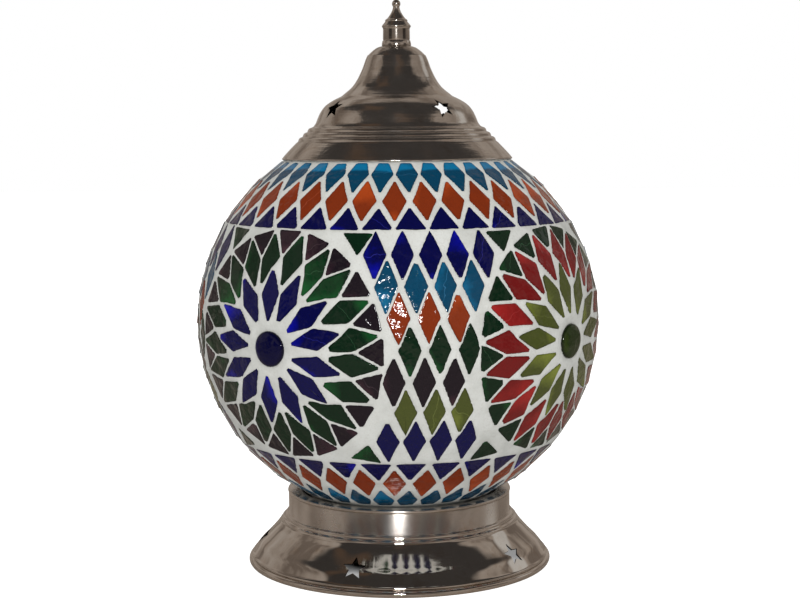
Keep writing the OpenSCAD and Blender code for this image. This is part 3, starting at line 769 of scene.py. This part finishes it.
def spun_shell(name, line, sheet, turns, body, node, material, cutters):
    """A sheet-metal shell of revolution with holes, and exact smooth normals on both faces."""
    outside, normals = line_normals(line)
    inside = outside - normals * sheet
    loop = np.vstack([outside, inside[::-1]])
    m = len(loop)
    # half a step round, so that no column of points meets a hole's middle
    angles = np.linspace(0, 2 * math.pi, turns, endpoint=False) + math.pi / turns
    verts = [(r * math.sin(t) * MM, -r * math.cos(t) * MM, z * MM) for t in angles for r, z in loop]
    faces = []
    for k in range(turns):
        k2 = (k + 1) % turns
        for i in range(m):
            j = (i + 1) % m
            faces.append((k * m + i, k2 * m + i, k2 * m + j, k * m + j))
    piece = new_piece(name, verts, faces, body, (node,), material, smooth=False)
    cut_holes(piece, cutters)
    smooth_revolved(piece, outside, inside, normals)


def cut_holes(piece, cutters):
    """Cuts every cutter out of the piece for good, and removes the cutters."""
    for cutter in cutters:
        cut = piece.modifiers.new("cut", "BOOLEAN")
        cut.object = cutter
        cut.operation = "DIFFERENCE"
        cut.solver = "EXACT"
    depsgraph = bpy.context.evaluated_depsgraph_get()
    mesh = bpy.data.meshes.new_from_object(piece.evaluated_get(depsgraph))
    piece.modifiers.clear()
    uncut = piece.data
    piece.data = mesh
    bpy.data.meshes.remove(uncut)
    for cutter in cutters:
        bpy.data.objects.remove(cutter)


def smooth_revolved(piece, outside, inside, normals):
    """Sets corner normals from the outline where a face lies on it, and flat ones in the holes."""
    mesh = piece.data
    mesh.shade_smooth()
    co = np.array([v.co for v in mesh.vertices]) / MM
    radius = np.hypot(co[:, 0], co[:, 1])
    around = np.stack([co[:, 0], co[:, 1]], axis=1) / np.maximum(radius, 1e-9)[:, None]
    index = np.zeros(len(mesh.loops), dtype=np.int32)
    mesh.loops.foreach_get("vertex_index", index)
    section = np.stack([radius, co[:, 2]], axis=1)
    best = np.full(len(co), 1e9)
    analytic = np.zeros((len(co), 2))
    for line, norm in ((outside, normals), (inside, -normals)):
        a, b = line[:-1], line[1:]
        ab = b - a
        for i in range(len(a)):
            t = np.clip(((section - a[i]) @ ab[i]) / (ab[i] @ ab[i]), 0, 1)
            gap = np.linalg.norm(section - a[i] - t[:, None] * ab[i], axis=1)
            better = gap < best - 1e-7
            best[better] = gap[better]
            n = norm[i] * (1 - t[:, None]) + norm[i + 1] * t[:, None]
            analytic[better] = n[better]
    analytic /= np.maximum(np.linalg.norm(analytic, axis=1, keepdims=True), 1e-9)
    full = np.column_stack([around * analytic[:, :1], analytic[:, 1]])
    corners = np.zeros((len(mesh.loops), 3))
    for polygon in mesh.polygons:
        flat = np.array(polygon.normal)
        for li in polygon.loop_indices:
            n = full[index[li]]
            corners[li] = n if n @ flat > 0.75 else flat
    mesh.normals_split_custom_set([tuple(n) for n in corners])


STAR_TIP = 7.6           # mm from a star's middle to its points
STAR_WAIST = 0.45        # share of that where the notches between them lie
STAR_HALF = 6.0          # mm, half the length of the prism that cuts one


def star_cutter(lon, radius, height, slope, twist=0.0):
    """A star prism through a shell, at that longitude, tilted with the wall."""
    bm = bmesh.new()
    ring = []
    for k in range(10):
        t = math.radians(90 + 36 * k + twist)
        r = STAR_TIP if k % 2 == 0 else STAR_WAIST * STAR_TIP
        ring.append((r * math.cos(t) * MM, r * math.sin(t) * MM))
    low = [bm.verts.new((x, y, -STAR_HALF * MM)) for x, y in ring]
    high = [bm.verts.new((x, y, STAR_HALF * MM)) for x, y in ring]
    bm.faces.new(list(reversed(low)))
    bm.faces.new(high)
    for k in range(10):
        bm.faces.new((low[k], low[(k + 1) % 10], high[(k + 1) % 10], high[k]))
    mesh = bpy.data.meshes.new("star_cut")
    bm.to_mesh(mesh)
    bm.free()
    cutter = bpy.data.objects.new("star_cut", mesh)
    bpy.context.collection.objects.link(cutter)
    cutter.matrix_world = (Matrix.Rotation(math.radians(lon), 4, "Z")
                           @ Matrix.Translation((0, -radius * MM, height * MM))
                           @ Matrix.Rotation(math.radians(slope), 4, "X"))
    return cutter


def round_cutter(y, z, radius):
    """A round bar along Y, for the cable's hole."""
    bpy.ops.mesh.primitive_cylinder_add(vertices=50, radius=radius * MM, depth=0.06,
                                        location=(0, y * MM, z * MM), rotation=(math.pi / 2, 0, 0))
    return bpy.context.object


cap_nickel = nickel_material("cap_nickel", rough=0.12, brushed=0.7, relief=1.5)
foot_nickel = nickel_material("foot_nickel", rough=0.24, brushed=0.9, relief=0.35,
                              polished_below=0.0305)
finial_nickel = nickel_material("finial_nickel", rough=0.15, brushed=0.7, relief=0.4)

foot_cuts = [star_cutter(-18.3 + 72 * k, radius=85.2, height=14.6, slope=43) for k in range(5)]
foot_cuts.append(round_cutter(y=90, z=13, radius=5.0))
spun_shell("foot_spun_shell", foot_line, sheet=0.9, turns=240, body="base",
           node="foot_shell", material=foot_nickel, cutters=foot_cuts)
cap_cuts = [star_cutter(lon, radius=45, height=283, slope=54, twist=12)
            for lon in (-57, 37, 140, 221)]
spun_shell("cap_spun_shell", cap_line, sheet=0.8, turns=216, body="cap",
           node="cap_shell", material=cap_nickel, cutters=cap_cuts)

FINIAL_Z = 321.25
finial_line = [(r, FINIAL_Z + z) for r, z in (
    [(0, 0), (8.7, 0), (9, 0.3), (9, 1.4), (8.6, 3.3), (8.1, 3.8), (8.3, 4.4), (8.2, 10.4)]
    + arc((7.9, 12.2), 1, -60, 50, 12) + arc((6, 15.6), 0.9, -30, 70, 10)
    + spline([(5.4, 17.1), (4.2, 18.8), (3.2, 20.4), (2.4, 22.2), (2, 23.7)], 8)
    + arc((0, 25.9), 2.6, -38, 75, 18) + [(0.5, 29.5), (0, 30.7)])]


def turned_solid(name, line, turns, body, node, material):
    """A solid of revolution that starts and ends on the axis."""
    line = [tuple(p) for p in line]
    ring = line[1:-1]
    m = len(ring)
    verts = [(r * math.sin(t) * MM, -r * math.cos(t) * MM, z * MM)
             for t in np.linspace(0, 2 * math.pi, turns, endpoint=False) for r, z in ring]
    faces = []
    for k in range(turns):
        k2 = (k + 1) % turns
        faces += [(k * m + i, k2 * m + i, k2 * m + i + 1, k * m + i + 1) for i in range(m - 1)]
    low, high = len(verts), len(verts) + 1
    verts += [(0, 0, line[0][1] * MM), (0, 0, line[-1][1] * MM)]
    for k in range(turns):
        k2 = (k + 1) % turns
        faces.append((k2 * m, k * m, low))
        faces.append((k * m + m - 1, k2 * m + m - 1, high))
    piece = new_piece(name, verts, faces, body, (node,), material)
    piece.data.set_sharp_from_angle(angle=math.radians(50))


turned_solid("turned_finial", finial_line, turns=96, body="cap", node="finial",
             material=finial_nickel)

# ---------- inner parts: CAD nodes with better finishes ----------

zinc = metal_material("zinc_plated_steel", (0.55, 0.56, 0.57), 0.35)
brass = metal_material("bare_brass", (0.62, 0.44, 0.18), 0.30)
bright = metal_material("bright_aluminium", (0.78, 0.78, 0.78), 0.25)
phenolic = moulded_material("black_phenolic", (0.012, 0.011, 0.010), 0.30)
rubber = moulded_material("black_rubber", (0.02, 0.02, 0.02), 0.65)
filament = moulded_material("filament_coating", (0.85, 0.55, 0.08), 0.45)
globe_clear = clear_glass_material("globe_clear_glass", (0.97, 0.98, 0.97), 0.02)
bulb_clear = clear_glass_material("bulb_clear_glass", (0.99, 0.99, 0.985), 0.0)

FINISHES = {
    "cable_grommet": rubber, "seat_plate": zinc, "seat_gasket": rubber,
    "threaded_nipple": brass, "lower_lock_nut": brass, "upper_lock_nut": brass,
    "nipple_washers": zinc, "earth_screw": brass,
    "lampholder_body": phenolic, "lampholder_shell": phenolic, "lampholder_thread": brass,
    "lampholder_contact": brass, "terminal_screws": brass,
    "bulb_contact": brass, "bulb_insulator": phenolic, "bulb_screw_cap": bright,
    "bulb_envelope": bulb_clear, "bulb_stem": bulb_clear, "bulb_filaments": filament,
    "globe_glass": globe_clear,
    "cap_locating_ring": zinc, "finial_stud": zinc, "finial_washer": zinc, "finial_nut": zinc,
}
for node, material in FINISHES.items():
    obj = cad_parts[node]
    for slot_place in obj.material_slots:
        slot_place.material = material

# ---------- floor, light, camera ----------

# Directions of the room that the metal shows: dark furniture at both sides, a window at the right
FURNITURE = ((-0.80, -0.59, 0.03), (0.95, -0.31, 0.03))
FURNITURE_TONE = (0.035, 0.028, 0.024)
WINDOW = (0.79, 0.415, 0.45)
FLOOR_HALF = 6.0


def floor():
    """A white sweep for the camera that still takes a soft contact shadow, with painted shade under the
    foot; a tan table in the metal.
    """
    m = Nodes("pale_floor")
    path = m.add("LightPath")
    cloud = m.noise(3.0, 3.0, m.place())
    table = m.ramp(cloud, [(0.3, (0.28, 0.23, 0.19)), (0.7, (0.44, 0.37, 0.31))])
    apart = m.add("VectorMath", {0: m.place()}, operation="LENGTH").outputs["Value"]
    beyond = m.fade(apart, 0.7, 1.4)
    way = m.add("VectorMath", {0: m.place()}, operation="NORMALIZE").outputs[0]
    table = m.mix(beyond, table, (0.22, 0.18, 0.15))
    for direction in FURNITURE:
        table = m.mix(m.math("MULTIPLY", beyond, m.facing(way, direction)), table, FURNITURE_TONE)
    # painted shade: the camera glow goes dark in the middle of the foot and dim under the rest of it, with
    # white all round
    foot_shade_glow_mask = m.ramp(apart, [(0.036, (0, 0, 0)), (0.050, (0.35, 0.35, 0.35)),
                                (0.088, (0.35, 0.35, 0.35)), (0.094, (1, 1, 1))])
    glow = m.math("MULTIPLY", m.math("MULTIPLY", path.outputs["Is Camera Ray"], foot_shade_glow_mask), 0.80)
    m.set(Base_Color=m.mix(path.outputs["Is Glossy Ray"], (0.80, 0.80, 0.80), table),
          Emission_Strength=glow)
    m.bsdf.inputs["Emission Color"].default_value = (1, 1, 1, 1)
    m.bsdf.inputs["Roughness"].default_value = 0.8
    m.bsdf.inputs["Specular IOR Level"].default_value = 0.1
    mesh = bpy.data.meshes.new("floor")
    corners = [(x * FLOOR_HALF, y * FLOOR_HALF, 0) for x, y in ((-1, -1), (1, -1), (1, 1), (-1, 1))]
    mesh.from_pydata(corners, [], [(0, 1, 2, 3)])
    mesh.materials.append(m.material)
    obj = bpy.data.objects.new("floor", mesh)
    bpy.context.collection.objects.link(obj)


def area_light(name, place, aim, size, power):
    data = bpy.data.lights.new(name, "AREA")
    data.shape = "RECTANGLE"
    data.size, data.size_y = size
    data.energy = power
    obj = bpy.data.objects.new(name, data)
    bpy.context.collection.objects.link(obj)
    obj.location = place
    obj.rotation_euler = (Vector(aim) - Vector(place)).to_track_quat("-Z", "Y").to_euler()


class WorldNodes(Nodes):
    """The same short way for the world's tree."""

    def __init__(self, name):
        world = bpy.data.worlds.new(name)
        bpy.context.scene.world = world
        world.use_nodes = True
        self.tree = world.node_tree
        self.tree.nodes.clear()


def studio_world():
    """Soft even light from a plain white studio. The metal shows a room instead: tan walls with
    a window at the right, under a dark ceiling."""
    w = WorldNodes("studio")
    way = w.add("TexCoord").outputs["Generated"]
    x, y, z = w.add("SeparateXYZ", {0: way}).outputs
    wander = w.math("MULTIPLY", w.noise(2.2, 2.0, way), 0.16)
    edges = [(w.math("ADD", w.math("ABSOLUTE", x), wander), 0.78, 0.72),
             (w.math("ADD", y, wander), 0.56, 0.48), (z, 0.50, 0.60)]
    ceiling = 1.0
    for value, start, stop in edges:
        ceiling = w.math("MULTIPLY", w.fade(value, start, stop, smooth=True), ceiling)
    banded = w.add("Mapping", {"Vector": way, "Scale": (1.5, 1.5, 5.0)}).outputs[0]
    walls = w.ramp(w.noise(1.6, 3.0, banded), [(0.38, (0.185, 0.15, 0.125)), (0.5, (0.36, 0.305, 0.26)),
                                               (0.7, (0.46, 0.41, 0.365))])
    beams = w.ramp(w.noise(1.9, 1.0, way), [(0.54, (0.05, 0.045, 0.042)), (0.60, (0.10, 0.068, 0.048))])
    behind = w.fade(y, -0.80, -0.92, smooth=True)
    walls = w.mix(behind, walls, (0.10, 0.085, 0.075))
    for direction in FURNITURE:
        walls = w.mix(w.facing(way, direction), walls, FURNITURE_TONE)
    room = w.mix(ceiling, walls, beams)
    window = w.facing(way, WINDOW, 0.985, 0.994)
    room = w.mix(window, room, (0.62, 0.60, 0.57))
    path = w.add("LightPath")
    light = w.mix(path.outputs["Is Glossy Ray"], (0.80, 0.80, 0.79), room)
    shown = w.mix(path.outputs["Is Camera Ray"], light, (1, 1, 1))
    background = w.add("Background", {"Color": shown})
    w.tree.links.new(background.outputs[0], w.add("OutputWorld").inputs[0])


floor()
studio_world()
area_light("flash", place=(0.0, -1.05, 0.40), aim=(0, 0, 0.16), size=(0.14, 0.05), power=5.6)

CAMERA_PLACE = (0, -1.02675, 0.2724)
CAMERA_DOWN = 6.02       # degrees below level
CAMERA_ROLL = -0.35      # degrees about the line of sight

camera_data = bpy.data.cameras.new("camera")
camera_data.sensor_width = 36
camera_data.lens = 74.205
camera_data.shift_x = 0.0025
camera = bpy.data.objects.new("camera", camera_data)
bpy.context.collection.objects.link(camera)
camera.location = CAMERA_PLACE
camera.rotation_euler = (Matrix.Rotation(math.radians(90 - CAMERA_DOWN), 3, "X")
                         @ Matrix.Rotation(math.radians(CAMERA_ROLL), 3, "Z")).to_euler()
bpy.context.scene.camera = camera
bpy.context.scene.view_settings.view_transform = "Standard"
bpy.context.scene.cycles.use_denoising = True
